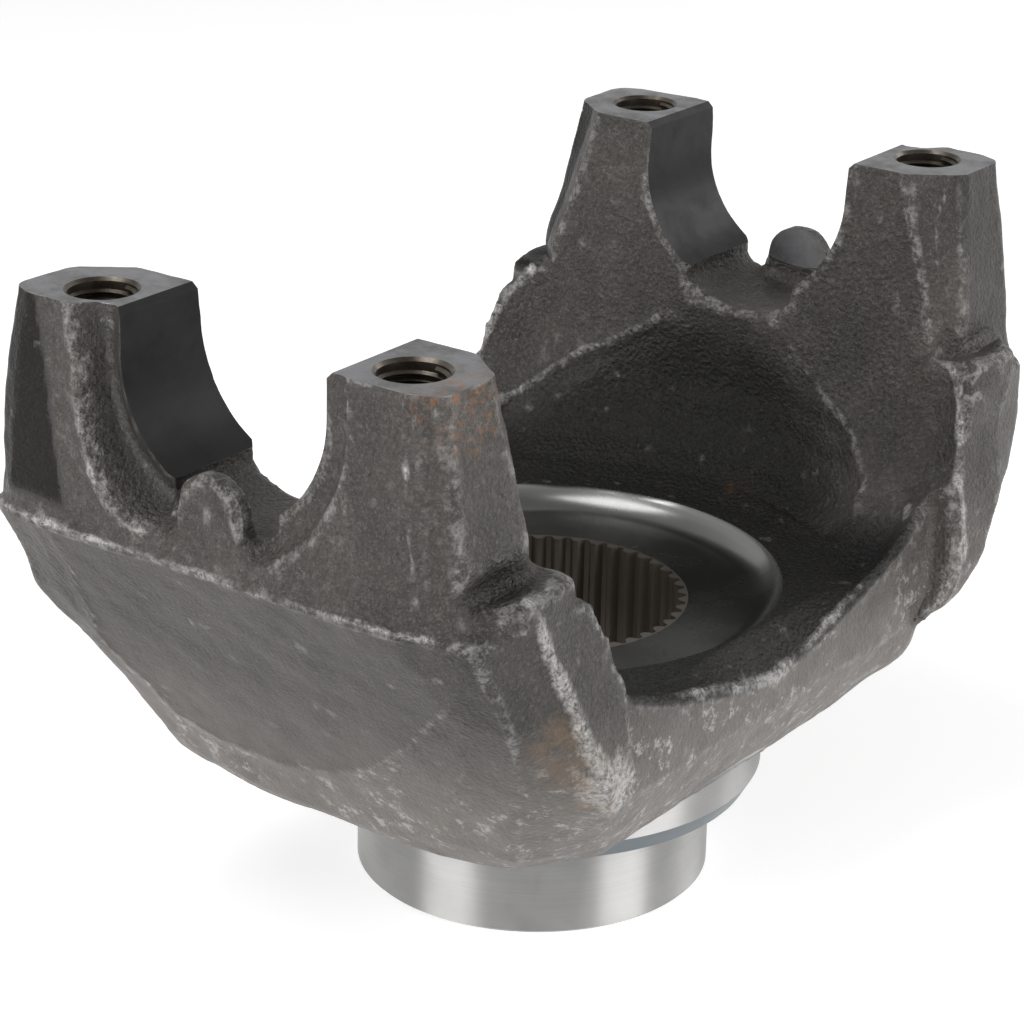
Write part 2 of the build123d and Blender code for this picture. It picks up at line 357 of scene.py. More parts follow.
# Rounds the corners, then adds swells, the trench round each seat's end, scoops, pits and flash
def forgeSurface(mesh, tree):
    pairs = edgePairs(mesh)
    points = relaxed(readPoints(mesh), pairs, forging["edgeRounds"])
    # flats go back onto the solid, which takes the steps of the remesh out of them
    for i, point in enumerate(points):
        place, _, _, apart = tree.find_nearest(Vector(point))
        back = min(max((forging["roundFrom"] * mm - apart) / (forging["roundBand"] * mm), 0), 1)
        points[i] = point + (np.array(place) - point) * back
    x, y, z = (points / mm).T
    tabFoot = smooth(97.2, 98.6, np.abs(x)) * smooth(17, 13, np.abs(y))
    tabFoot = tabFoot * smooth(88, 92, z) * smooth(105, 101, z)
    points = points + (relaxed(points, pairs, forging["tabFootRounds"]) - points) * tabFoot[:, None]
    for middle, reach, shift in swells:
        apart = (((points / mm - middle) / reach) ** 2).sum(1)
        points = points + np.exp(-apart)[:, None] * np.array(shift) * mm

    x, y, z = (points / mm).T
    fromSeat, ridge = seatDistances(y, z)
    across = (ridge - fromSeat) / (ridge - yoke["seatRadius"])
    trench = smooth(0, 0.45, across) * (1 - 0.4 * smooth(0.65, 1.0, across)) * smooth(10.5, 14, np.abs(y))
    trench = trench * smooth(84, 95, np.abs(x)) * (z > 96) * (x * y < 0)
    points[:, 0] -= np.sign(x) * forging["trenchDepth"] * trench * mm
    writePoints(mesh, points)

    normals = readNormals(mesh)
    x, y, z = (points / mm).T
    pits = grain(points, 4.2, 2, 3)
    rag = 0.65 + 0.6 * grain(points, 5, 3, 2)
    lift = forging["unevenness"] * grain(points, 16, 1, 3)
    lift += forging["scalePits"] * np.minimum(pits, 0.25)
    for line, wide in flashLines():
        height = forging["flashHeight"] * min(1, wide / 1.6)
        lift += height * (rag + 0.3 * pits) * np.exp(-(lineDistance(points / mm, line) / (0.75 * wide)) ** 2)
    onEnd = (np.abs(x) > 88) & (np.abs(normals[:, 0]) > 0.3)
    lift += forging["flashHeight"] * rag * np.exp(-lineDistance(np.stack([y, z], 1), endFlash) ** 2) * onEnd
    rim = np.exp(-((fromSeat - ridge) / 1.3) ** 2) * smooth(89, 93, np.abs(x)) * (np.abs(y) > 14) * (z > 96)
    lift += forging["lipHeight"] * rag * rim * (x * y < 0)
    below = belowScoop(x, y, z)
    inner = smooth(0.1, 0.4, -normals[:, 0] * np.sign(x))
    inner = inner * smooth(36, 46, np.abs(x)) * smooth(82, 78, np.abs(x))
    crisp = smooth(12, 24, y * np.sign(x))
    edge = crisp * smooth(0, 4, below) + (1 - crisp) * smooth(-4, 14, below)
    lift -= forging["scoopDepth"] * edge * smooth(26, 10, below) * inner
    lift += forging["ridgeHeight"] * rag * np.exp(-(below / 1.2) ** 2) * inner * crisp
    off, near = flatDistance(x, y, z)
    lift -= forging["flatStep"] * smooth(0, 4, off) * near
    lift += forging["flatLip"] * rag * np.exp(-(off / 0.8) ** 2) * near * (z < 92)
    rimBand = smooth(55, 51, np.hypot(x, y)) * smooth(55, 57, z) * smooth(70, 66, z)
    points = points + normals * (lift * (1 - 0.85 * rimBand) * mm)[:, None]

    # the skin over the collar goes in under the turned face, so that nothing thin is left on it
    x, y, z = (points / mm).T
    around = np.hypot(x, y)
    skin = (around > 45.4) & (around < 48.0) & (z < 33) & (np.abs(normals[:, 2]) < 0.5)
    scale = np.where(skin, forging["collarSkin"] / np.maximum(around, 1), 1.0)
    points[:, :2] *= scale[:, None]
    box = np.array([list(cadBox[0]), list(cadBox[1])])
    box[1, 2] += 10 * mm  # the spare metal on the tops is still there
    margin = forging["boxMargin"] * mm
    writePoints(mesh, np.clip(points, box[0] + margin, box[1] - margin))


# cutting tools, as sizes and steps of their outlines
tools = {
    "below": -12,
    "collarGap": 0.1,
    "collarCut": 30,
    "collarStep": (1.5, 32),
    "rimRound": 7,
    "aboveDish": 70,
    "turnSteps": 184,
    "seatSteps": 96,
    "seatEnd": {"from": 24, "steps": 40, "reach": 112},
    "clear": 160,
    "mill": (260, 180, 20),
    "drill": {"radius": 6.37, "mouth": 7.02, "edge": 0.65, "depth": 27, "tip": 30, "steps": 48},
}


# Turns, mills and drills the forging, as on the real part
def machineForging(piece):
    bm = bmesh.new()
    t = tools
    rim = arcPoints((yoke["dishFloorRadius"], yoke["dishFloor"] + t["rimRound"]), t["rimRound"], -90, -24, 8)
    wide = yoke["collarRadius"] - t["collarGap"]
    narrower, stepTop = t["collarStep"]
    lathe(bm, [(0, t["below"]), (wide, t["below"]), (wide, t["collarCut"]), (wide - narrower, stepTop),
               (yoke["liningRadius"], stepTop), (yoke["liningRadius"], yoke["dishFloor"])] + rim +
          [(yoke["dishRimRadius"], yoke["bowlFloor"]), (yoke["dishRimRadius"], t["aboveDish"]),
           (0, t["aboveDish"])], t["turnSteps"])
    takeAway(piece, newPiece("turning_tool", bm))

    seat = arcPoints((0, yoke["seatCentre"]), yoke["seatRadius"], 180, 360, t["seatSteps"])
    top, edge, clear = yoke["strapFace"], yoke["seatEdge"], t["clear"]
    wide = yoke["seatRadius"] + edge
    upper = [(yoke["seatRadius"], top - edge), (wide, top), (wide, clear), (-wide, clear), (-wide, top),
             (-yoke["seatRadius"], top - edge)]
    bm = bmesh.new()
    prismAlongX(bm, seat + upper, -yoke["tabInner"], yoke["tabInner"])
    outwards(bm)
    takeAway(piece, newPiece("seat_tool", bm))
    end = t["seatEnd"]
    for side in (-1, 1):
        half = arcPoints((0, yoke["seatCentre"]), yoke["seatRadius"], -90 + side * end["from"],
                         -90 + side * 90, end["steps"])
        tall = [(side * yoke["seatRadius"], top - edge), (side * wide, top), (side * wide, clear),
                (half[0][0], clear)]
        bm = bmesh.new()
        prismAlongX(bm, half + tall, -end["reach"], end["reach"])
        outwards(bm)
        takeAway(piece, newPiece("seat_end_tool", bm))

    bm = bmesh.new()
    bmesh.ops.create_cube(bm, size=1, matrix=Matrix.LocRotScale(
        Vector((0, 0, top + t["mill"][2] / 2)) * mm, None, Vector(t["mill"]) * mm))
    takeAway(piece, newPiece("mill", bm))

    bm = bmesh.new()
    d = t["drill"]
    drill = [(0, top - d["tip"]), (d["radius"], top - d["depth"]), (d["radius"], top - d["edge"]),
             (d["mouth"], top), (d["mouth"] + 1, top + 1), (0, top + 1)]
    lathe(bm, drill, d["steps"])
    pattern = bm.verts[:] + bm.edges[:] + bm.faces[:]
    bmesh.ops.translate(bm, verts=bm.verts, vec=(yoke["boltX"] * mm, yoke["boltY"] * mm, 0))
    for x, y in ((-2, 0), (0, -2), (-2, -2)):
        copy = bmesh.ops.duplicate(bm, geom=pattern)["geom"]
        moved = [v for v in copy if isinstance(v, bmesh.types.BMVert)]
        bmesh.ops.translate(bm, verts=moved, vec=(x * yoke["boltX"] * mm, y * yoke["boltY"] * mm, 0))
    takeAway(piece, newPiece("drill", bm))


# Material of each face: 0 forged, 1 milled face, 2 bored seat, 3 turned dish, 4 drilled hole
def markMachined(mesh):
    x, y, z = (readAll(mesh.polygons, "center", 3) / mm).T
    nx, ny, nz = readAll(mesh.polygons, "normal", 3).T
    slots = np.zeros(len(mesh.polygons), dtype=np.int32)
    onEar = np.abs(x) > 66
    slots[onEar & (z > yoke["strapFace"] - 0.02)] = 1
    fromSeat = np.hypot(y, z - yoke["seatCentre"])
    inward = (y * ny + (z - yoke["seatCentre"]) * nz) < 0
    arc = (z < yoke["seatCentre"]) & (np.abs(fromSeat - yoke["seatRadius"]) < 0.05) & inward
    wall = (z >= yoke["seatCentre"]) & (np.abs(y) > 24.5)
    wall &= np.abs(y) < yoke["seatRadius"] + yoke["seatEdge"]
    slots[onEar & (np.abs(nx) < 0.3) & (arc | wall) & (z < yoke["strapFace"] - 0.02)] = 2
    tab = (np.abs(np.abs(x) - yoke["tabInner"]) < 0.05) & (np.abs(nx) > 0.95) & (np.abs(y) < 12) & (z < 115)
    slots[tab] = 1
    around = np.hypot(x, y)
    dish = (around > 30) & (around < yoke["dishRimRadius"] + 0.02)
    slots[dish & (z > 32.5) & (z < yoke["bowlFloor"] + 2)] = 3
    hole = np.hypot(np.abs(x) - yoke["boltX"], np.abs(y) - yoke["boltY"]) < 7.0
    slots[hole & (z > 100) & (z < yoke["strapFace"] - 0.01)] = 4
    return slots


# Keeps on each point what the forged finish needs: worn edges and flash, painted shade in hollows and on
# shaded faces, painted floor light lower down, and flatness
def storeWearAndPaintedLight(mesh):
    points = readPoints(mesh)
    pairs = edgePairs(mesh)
    normals = readNormals(mesh)
    x, y, z = (points / mm).T
    out = ((points - relaxed(points, pairs, 6)) * normals).sum(1) / (0.35 * mm)
    ragged = grain(points, 4, 5, 4)
    flash = np.zeros(len(points))
    for line, wide in flashLines():
        wide = wide * (1 + 0.7 * np.clip((85 - z) / 25, 0, 1))
        strength = 1.15 if wide.min() > 1.2 else 0.58
        flash = np.maximum(flash, strength - lineDistance(points / mm, line) / wide)
    apart = lineDistance(np.stack([y, z], 1), endFlash)
    flash = np.maximum(flash, (0.85 - apart) * (np.abs(x) > 92))
    off, near = flatDistance(x, y, z)
    flash = np.maximum(flash, (0.44 - np.abs(off) / 1.8) * near * (z < 92))
    below = belowScoop(x, y, z)
    ear = smooth(50, 58, np.abs(x)) * smooth(80, 76, np.abs(x))
    ear = ear * smooth(0.1, 0.4, -normals[:, 0] * np.sign(x))
    flash = np.maximum(flash, (0.55 - np.abs(below) / 2.2) * ear * smooth(12, 22, y * np.sign(x)))
    fromSeat, ridge = seatDistances(y, z)
    rim = np.abs(fromSeat - ridge)
    rim = (0.66 - rim / 1.6) * smooth(90, 94, np.abs(x)) * (np.abs(y) > 13) * (z > 96) * (x * y < 0)
    flash = np.maximum(flash, rim * smooth(134, 112, z))
    middle, reach = nearFoot
    flash = np.maximum(flash, 1.45 - 0.8 * np.linalg.norm((points / mm - middle) / reach, axis=1))
    flash = np.clip(flash + 0.45 * ragged, 0, 1)
    # painted shade: a darker colour in the bowl, its scoops and its deep middle, where the ears shade the
    # hollow
    around = np.maximum(np.hypot(x, y), 1)
    facingIn = np.maximum(-(normals[:, 0] * x + normals[:, 1] * y) / around, normals[:, 2])
    paintedShade = smooth(0.0, 0.4, facingIn) * smooth(60, 57.5, np.abs(y))
    paintedShade = paintedShade * smooth(90, 76, around) * smooth(52, 57, z)
    deep = smooth(76, 66, z) * smooth(62, 48, np.abs(x))
    paintedShade = paintedShade * np.maximum(smooth(-8, 16, below), deep) * (1 - 0.4 * smooth(84, 104, z))
    # painted shade in the pockets under the near ears
    for side in (-1, 1):
        pocket = np.linalg.norm((points / mm - (-84, side * 53.5, 102.5)) / (11, 4, 3), axis=1)
        paintedShade = np.maximum(paintedShade, 0.75 * smooth(1.3, 0.5, pocket))
    # painted shade on the outer corner faces of three horns, on one far corner facet, and in the groove round
    # each seat's end
    corner = np.where(x < 0, smooth(-0.7, 0.7, y - 35.6 - 0.2 * (z - 105.6)),
                      smooth(0, 1.4, y - 40 - 0.3 * (137 - z)))
    corner = corner * smooth(97, 100, z)
    paintedShade = np.maximum(paintedShade, corner)
    paintedShade = np.maximum(paintedShade, 0.55 * smooth(77, 80, x) * smooth(-43, -46, y) * smooth(101, 105, z))
    groove = smooth(0.10, 0.45, (ridge - fromSeat) / (ridge - yoke["seatRadius"])) * (x * y < 0)
    groove = groove * smooth(88, 93, np.abs(x)) * smooth(11, 14, np.abs(y)) * (z > 96)
    paintedShade = np.maximum(paintedShade, 0.5 * groove)
    flat = np.maximum(smooth(0.8, -0.8, off) * near, np.maximum(0.9 * groove, corner))
    # painted floor light: the wall gets paler lower down, where the white floor lights it from below
    under = smooth(78, 40, z) * (1 - paintedShade) * (1 - 0.55 * flat)
    for name, values in (("edge_wear", out), ("flash_wear", flash), ("painted_shade", paintedShade),
                         ("pale_under", under), ("flat_end", flat)):
        layer = mesh.attributes.new(name, "FLOAT", "POINT")
        layer.data.foreach_set("value", np.clip(values, -1, 1).astype(np.float32))


# Keeps the shading apart where one finish meets another
def sharpBorders(mesh):
    corners = readAll(mesh.polygons, "loop_total", kind=np.int32)
    slots = np.repeat(readAll(mesh.polygons, "material_index", kind=np.int32), corners)
    edges = readAll(mesh.loops, "edge_index", kind=np.int32)
    low = np.full(len(mesh.edges), 99)
    high = np.full(len(mesh.edges), -1)
    np.minimum.at(low, edges, slots)
    np.maximum.at(high, edges, slots)
    sharp = readAll(mesh.edges, "use_edge_sharp", kind=bool)
    mesh.edges.foreach_set("use_edge_sharp", sharp | (low != high))


forgedMesh, solidTree = forgingBlank()
print("forging skin", len(forgedMesh.polygons))
forgeSurface(forgedMesh, solidTree)
forgedMesh.name = "forged_body"
forgedBody = bpy.data.objects.new("forged_body", forgedMesh)
bpy.context.scene.collection.objects.link(forgedBody)
machineForging(forgedBody)
faceSlots = markMachined(forgedBody.data)
storeWearAndPaintedLight(forgedBody.data)
print("forging machined", len(forgedBody.data.polygons), np.bincount(faceSlots))


# turned hub with its collar, and the splined lining of the bore

hub = {"edge": 0.6, "grooveDepth": 0.35, "grooveTop": 0.6, "grooveFoot": 0.9, "collarEdge": 2.2,
       "collarRise": 3.9, "collarTop": 32.8, "steps": 192, "mouth": 2.0}
# a space of the spline: half widths in degrees, and how far outside the teeth's tips they lie in millimetres
spline = {"teeth": 46, "rootHalf": 1.0, "middleHalf": 1.75, "tipHalf": 2.65, "tipEase": 0.35,
          "middleRise": 0.85, "tipRise": 0.12}


def turnedHub():
    r, c, h = yoke["hubRadius"], yoke["collarRadius"], yoke["collarHeight"]
    inner = r - hub["grooveDepth"]
    groove = [(r, h - hub["grooveFoot"]), (inner, h - hub["grooveTop"]), (inner, h)]
    profile = [(yoke["liningRadius"], 0), (r - hub["edge"], 0), (r, hub["edge"])] + groove
    profile += [(c - hub["collarEdge"], h), (c, h + hub["collarRise"]), (c, hub["collarTop"]),
                (yoke["liningRadius"], hub["collarTop"])]
    bm = bmesh.new()
    lathe(bm, profile, hub["steps"])
    return newPiece("turned_hub", bm)


# Ring of teeth drawn up through the bore, with a cone turned at the lower mouth
def splinedBore():
    tip, steps = yoke["splineTip"], tools["turnSteps"]
    flank = [(yoke["splineRoot"], spline["rootHalf"]), (tip + spline["middleRise"], spline["middleHalf"]),
             (tip + spline["tipRise"], spline["tipHalf"]), (tip, spline["tipHalf"] + spline["tipEase"])]
    space = [(radius, -turn) for radius, turn in reversed(flank)] + flank
    points = []
    for tooth in range(spline["teeth"]):
        middle = 360 / spline["teeth"] * tooth
        for radius, turn in space:
            a = math.radians(middle + turn)
            points.append((radius * math.cos(a), radius * math.sin(a), 0))
    bm = bmesh.new()
    around = [2 * math.pi * i / steps for i in range(steps)]
    outer = [(yoke["liningRadius"] * math.cos(a), yoke["liningRadius"] * math.sin(a), 0) for a in around]
    _, inner = outline(bm, points)
    _, ring = outline(bm, outer)
    bmesh.ops.triangle_fill(bm, edges=inner + ring, use_beauty=True, use_dissolve=False)
    bottom = bm.faces[:]
    grown = bmesh.ops.extrude_face_region(bm, geom=bottom)["geom"]
    moved = [v for v in grown if isinstance(v, bmesh.types.BMVert)]
    bmesh.ops.translate(bm, verts=moved, vec=(0, 0, yoke["dishFloor"] * mm))
    outwards(bm)
    piece = newPiece("splined_bore", bm)
    bm = bmesh.new()
    wide, deep = tip + hub["mouth"] + 1, hub["mouth"] + 1
    lathe(bm, [(0, -1), (wide, -1), (tip - 1, deep), (0, deep)], steps)
    takeAway(piece, newPiece("mouth_tool", bm))
    return piece


hubPiece = turnedHub()
borePiece = splinedBore()
print("hub", len(hubPiece.data.polygons), "bore", len(borePiece.data.polygons))


# threads in the four bolt holes

thread = {"pitch": 1.27, "crest": 5.72, "root": 6.6, "flat": (0.44, 0.56), "turns": 19, "steps": 28,
          "start": 110.6}


# One ridge wound up the four holes, each closed at both ends
def threadCoil():
    bm = bmesh.new()
    pitch, z = thread["pitch"], thread["start"]
    low, high = thread["flat"]
    section = [(thread["root"], z), (thread["crest"], z + low * pitch), (thread["crest"], z + high * pitch),
               (thread["root"], z + pitch)]
    for x, y in boltPlaces:
        verts, edges = outline(bm, [(x + r, y, h) for r, h in section])
        face = bm.faces.new(verts)
        bmesh.ops.spin(bm, geom=[face] + verts + edges, cent=(x * mm, y * mm, 0), axis=(0, 0, 1),
                       dvec=(0, 0, pitch / thread["steps"] * mm), angle=2 * math.pi * thread["turns"],
                       steps=thread["steps"] * thread["turns"])
    outwards(bm, 1e-7)
    return newPiece("threads", bm)


threadPiece = threadCoil()
print("threads", len(threadPiece.data.polygons))


# finishes

def newMaterial(name):
    material = bpy.data.materials.new(name)
    material.use_nodes = True
    nodes = material.node_tree.nodes
    nodes.clear()
    out = nodes.new("ShaderNodeOutputMaterial")
    shader = nodes.new("ShaderNodeBsdfPrincipled")
    material.node_tree.links.new(shader.outputs[0], out.inputs[0])
    return material, shader


# Short names for the nodes that the finishes use
class Recipe:
    def __init__(self, material):
        self.nodes = material.node_tree.nodes
        self.links = material.node_tree.links
        self.coords = self.nodes.new("ShaderNodeTexCoord").outputs["Object"]

    def put(self, socket, value):
        if isinstance(value, bpy.types.NodeSocket):
            self.links.new(value, socket)
        elif isinstance(value, (tuple, list)) and len(value) == 3 and socket.type == "RGBA":
            socket.default_value = (*value, 1)
        else:
            socket.default_value = value

    def stretched(self, scale):
        node = self.nodes.new("ShaderNodeMapping")
        self.links.new(self.coords, node.inputs["Vector"])
        node.inputs["Scale"].default_value = scale
        return node.outputs[0]

    def noise(self, size, detail=4, rough=0.6, vector=None):
        node = self.nodes.new("ShaderNodeTexNoise")
        self.put(node.inputs["Vector"], vector or self.coords)
        node.inputs["Scale"].default_value = 1 / (size * mm)
        node.inputs["Detail"].default_value = detail
        node.inputs["Roughness"].default_value = rough
        return node.outputs["Fac"]

    def ramp(self, value, low, high, start=0.0, end=1.0):
        node = self.nodes.new("ShaderNodeMapRange")
        self.put(node.inputs["Value"], value)
        node.inputs["From Min"].default_value = low
        node.inputs["From Max"].default_value = high
        node.inputs["To Min"].default_value = start
        node.inputs["To Max"].default_value = end
        return node.outputs[0]

    def math(self, operation, a, b=0.0):
        node = self.nodes.new("ShaderNodeMath")
        node.operation = operation
        self.put(node.inputs[0], a)
        self.put(node.inputs[1], b)
        return node.outputs[0]

    def blend(self, factor, a, b):
        node = self.nodes.new("ShaderNodeMix")
        node.data_type = "RGBA"
        self.put(node.inputs["Factor"], factor)
        self.put(node.inputs[6], a)
        self.put(node.inputs[7], b)
        return node.outputs[2]

    def attribute(self, name):
        node = self.nodes.new("ShaderNodeAttribute")
        node.attribute_name = name
        return node.outputs["Fac"]

    def both(self, a, b):
        return self.math("MULTIPLY", a, b)

    # 1 at a place in millimetres, falling to 0 at the radius
    def near(self, place, radius):
        node = self.nodes.new("ShaderNodeVectorMath")
        node.operation = "DISTANCE"
        self.links.new(self.coords, node.inputs[0])
        node.inputs[1].default_value = Vector(place) * mm
        return self.ramp(node.outputs["Value"], 0, radius * mm, 1, 0)

    def nearAny(self, spots):
        value = 0.0
        for place, radius in spots:
            value = self.math("MAXIMUM", value, self.near(place, radius))
        return value

    def bump(self, height, strength, distance, normal=None):
        node = self.nodes.new("ShaderNodeBump")
        node.inputs["Strength"].default_value = strength
        node.inputs["Distance"].default_value = distance * mm
        self.put(node.inputs["Height"], height)
        if normal:
            self.links.new(normal, node.inputs["Normal"])
        return node.outputs[0]


forgedFinish = {
    "dark": (0.030, 0.027, 0.025),
    "base": (0.064, 0.057, 0.051),
    "pale": (0.175, 0.164, 0.154),
    "worn": (0.56, 0.545, 0.53),
    # painted shade colour, used in the hollows and on the shaded faces
    "paintedShade": (0.020, 0.019, 0.0185),
    # painted floor light colour for the lower wall
    "under": (0.195, 0.176, 0.161),
    "rust": (0.30, 0.115, 0.030),
    "tan": (0.24, 0.155, 0.085),
    "metallic": 0.20,
    "rough": 0.46,
    "specular": 0.35,
    "specularInside": 0.20,
    "edgeAmount": 0.40,
    "flashAmount": 0.85,
    "rustAmount": 0.8,
    "tanAmount": 0.5,
    "size": {"broad": 34, "patch": 9, "fine": 1.0, "speck": 0.40, "peel": 0.95, "flake": 4.2},
    "height": {"peel": 0.85, "fine": 0.35, "speck": 0.15},
}
# place and reach of each rust mark and of each brown patch
rustSpots = [((-88, -48, 136), 14), ((61, -8, 64), 3.5), ((92, -52, 130), 4)]
tanSpots = [((-77, -60, 71), 8), ((-72, -61, 63), 9), ((-67, -61.5, 57), 7)]


def forgedSteel():
    material, shader = newMaterial("forgedSteel")
    r = Recipe(material)
    f = forgedFinish
    paintedShade, under, flat = (r.attribute(name) for name in ("painted_shade", "pale_under", "flat_end"))
    size, height = f["size"], f["height"]
    broad = r.noise(size["broad"], 3, 0.55)
    patch = r.noise(size["patch"], 6, 0.7)
    fine = r.noise(size["fine"], 5, 0.78)
    speck = r.noise(size["speck"], 2, 0.6)
    peel = r.noise(size["peel"], 3, 0.5)
    smoother = r.math("MAXIMUM", flat, r.both(under, 0.6))
    coarse = r.ramp(smoother, 0.0, 1.0, 1.0, 0.25)
    coarse = r.both(coarse, r.ramp(paintedShade, 0.3, 1.0, 1.0, 1.5))
    matte = r.ramp(r.both(paintedShade, flat), 0.6, 1.0)
    mixed = r.math("ADD", r.both(broad, 0.5), r.both(patch, 0.5))
    tone = r.blend(r.ramp(mixed, 0.38, 0.62), f["dark"], f["base"])
    # painted floor light: the lower wall is paler
    tone = r.blend(r.both(under, r.ramp(patch, 0.30, 0.62, 0.55, 1.0)), tone, f["under"])
    # scale: fine pale and dark grain, calmer below and on the flats
    calm = r.both(r.ramp(under, 0.0, 0.8, 0.42, 0.22), r.ramp(flat, 0.0, 1.0, 1.0, 0.5))
    tone = r.blend(r.both(r.ramp(fine, 0.50, 0.70), calm), tone, f["pale"])
    tone = r.blend(r.both(r.ramp(fine, 0.50, 0.34), calm), tone, f["dark"])
    # painted shade: hollows and shaded corner faces get a near-black colour
    tone = r.blend(r.both(paintedShade, 0.93), tone, f["paintedShade"])
    specks = r.both(r.ramp(speck, 0.56, 0.66), r.ramp(paintedShade, 0.0, 1.0, 0.40, 0.10))
    tone = r.blend(specks, tone, f["pale"])
    flake = r.both(r.ramp(r.noise(size["flake"], 9, 0.86), 0.545, 0.585), r.ramp(broad, 0.42, 0.56, 0.1, 1.0))
    flake = r.both(flake, r.ramp(paintedShade, 0.0, 1.0, 1.0, 0.15))
    flake = r.both(flake, r.ramp(under, 0.1, 0.6, 0.10, 0.62))
    flake = r.both(flake, r.ramp(flat, 0.0, 1.0, 1.0, 0.1))
    tone = r.blend(flake, tone, f["worn"])
    # wear: rounded edges and ragged flash lines
    edge = r.both(r.ramp(r.attribute("edge_wear"), 0.16, 0.55), r.ramp(r.noise(2.6, 7, 0.8), 0.46, 0.62))
    edge = r.both(edge, r.ramp(paintedShade, 0.1, 0.6, 1.0, 0.1))
    flash = r.ramp(r.attribute("flash_wear"), 0.25, 0.75)
    flash = r.both(flash, r.ramp(r.noise(1.3, 7, 0.85), 0.40, 0.58))
    worn = r.math("MAXIMUM", r.both(edge, f["edgeAmount"]), r.both(flash, f["flashAmount"]))
    tone = r.blend(worn, tone, f["worn"])
    rust = r.both(r.ramp(r.nearAny(rustSpots), 0.0, 0.7), r.ramp(r.noise(1.8, 7, 0.85), 0.53, 0.61))
    tone = r.blend(r.both(rust, f["rustAmount"]), tone, f["rust"])
    tan = r.both(r.ramp(r.nearAny(tanSpots), 0.05, 0.7), r.ramp(r.noise(5, 6, 0.75), 0.38, 0.60))
    tone = r.blend(r.both(tan, f["tanAmount"]), tone, f["tan"])
    r.put(shader.inputs["Base Color"], tone)
    shader.inputs["Metallic"].default_value = f["metallic"]
    gloss = r.ramp(paintedShade, 0.2, 1.0, f["specular"], f["specularInside"])
    r.put(shader.inputs["Specular IOR Level"], r.both(gloss, r.ramp(matte, 0.0, 1.0, 1.0, 0.08)))
    rough = r.math("ADD", r.both(fine, 0.26), f["rough"] - 0.13)
    rough = r.math("SUBTRACT", rough, r.both(paintedShade, 0.19))
    r.put(shader.inputs["Roughness"], r.math("SUBTRACT", rough, r.both(worn, 0.12)))
    normal = r.bump(r.both(peel, coarse), 1.0, height["peel"])
    normal = r.bump(r.both(fine, coarse), 0.7, height["fine"], normal)
    normal = r.bump(speck, 0.6, height["speck"], normal)
    r.put(shader.inputs["Normal"], normal)
    return material


# stretch of the machining marks along x, y and z, larger where they are closer together
machinedFinish = {
    "specular": 0.15,
    "milled": {"colour": (0.235, 0.238, 0.248), "dark": (0.12, 0.115, 0.11), "rough": 0.36,
               "stretch": (300, 9, 40), "metal": 1.0},
    "bored": {"colour": (0.015, 0.015, 0.0155), "dark": (0.008, 0.008, 0.008), "rough": 0.38,
              "stretch": (5, 300, 300), "metal": 0.0},
    "drilled": {"colour": (0.120, 0.104, 0.086), "dark": (0.030, 0.024, 0.018), "rough": 0.30,
                "stretch": (120, 120, 700), "metal": 0.9},
}


def machinedSteel(name):
    f = machinedFinish[name]
    material, shader = newMaterial(name + "Steel")
    r = Recipe(material)
    lines = r.nodes.new("ShaderNodeTexNoise")
    r.put(lines.inputs["Vector"], r.stretched(f["stretch"]))
    lines.inputs["Scale"].default_value = 6
    lines.inputs["Detail"].default_value = 5
    lines.inputs["Roughness"].default_value = 0.7
    stain = r.noise(8, 5, 0.7)
    tone = r.blend(r.ramp(stain, 0.46, 0.66, 0.0, 0.8), f["colour"], f["dark"])
    tone = r.blend(r.ramp(lines.outputs["Fac"], 0.4, 0.7, 0.0, 0.35), tone, f["dark"])
    if name == "milled":
        rust = r.both(r.near(*rustSpots[0]), r.ramp(r.noise(1.6, 6, 0.8), 0.50, 0.60))
        tone = r.blend(rust, tone, forgedFinish["rust"])
        speckles = r.both(r.ramp(r.noise(0.9, 4, 0.8), 0.60, 0.68), 0.6)
        tone = r.blend(speckles, tone, f["dark"])
    r.put(shader.inputs["Base Color"], tone)
    shader.inputs["Metallic"].default_value = f["metal"]
    shader.inputs["Specular IOR Level"].default_value = machinedFinish["specular"]
    r.put(shader.inputs["Roughness"], r.ramp(stain, 0.3, 0.7, f["rough"] - 0.06, f["rough"] + 0.12))
    r.put(shader.inputs["Normal"], r.bump(lines.outputs["Fac"], 0.35, 0.05))
    return material


turnedFinish = {
    "turnedSteel": {"colour": (0.455, 0.45, 0.445), "rough": 0.45, "anisotropy": 1.0},
    "turnedDish": {"colour": (0.24, 0.24, 0.236), "rough": 0.24, "anisotropy": 0.5},
    "blueCollar": {"colour": (0.17, 0.195, 0.21), "rough": 0.34, "anisotropy": 0.4},
    "splineSteel": {"colour": (0.30, 0.27, 0.24), "rough": 0.38, "anisotropy": 0.0},
}


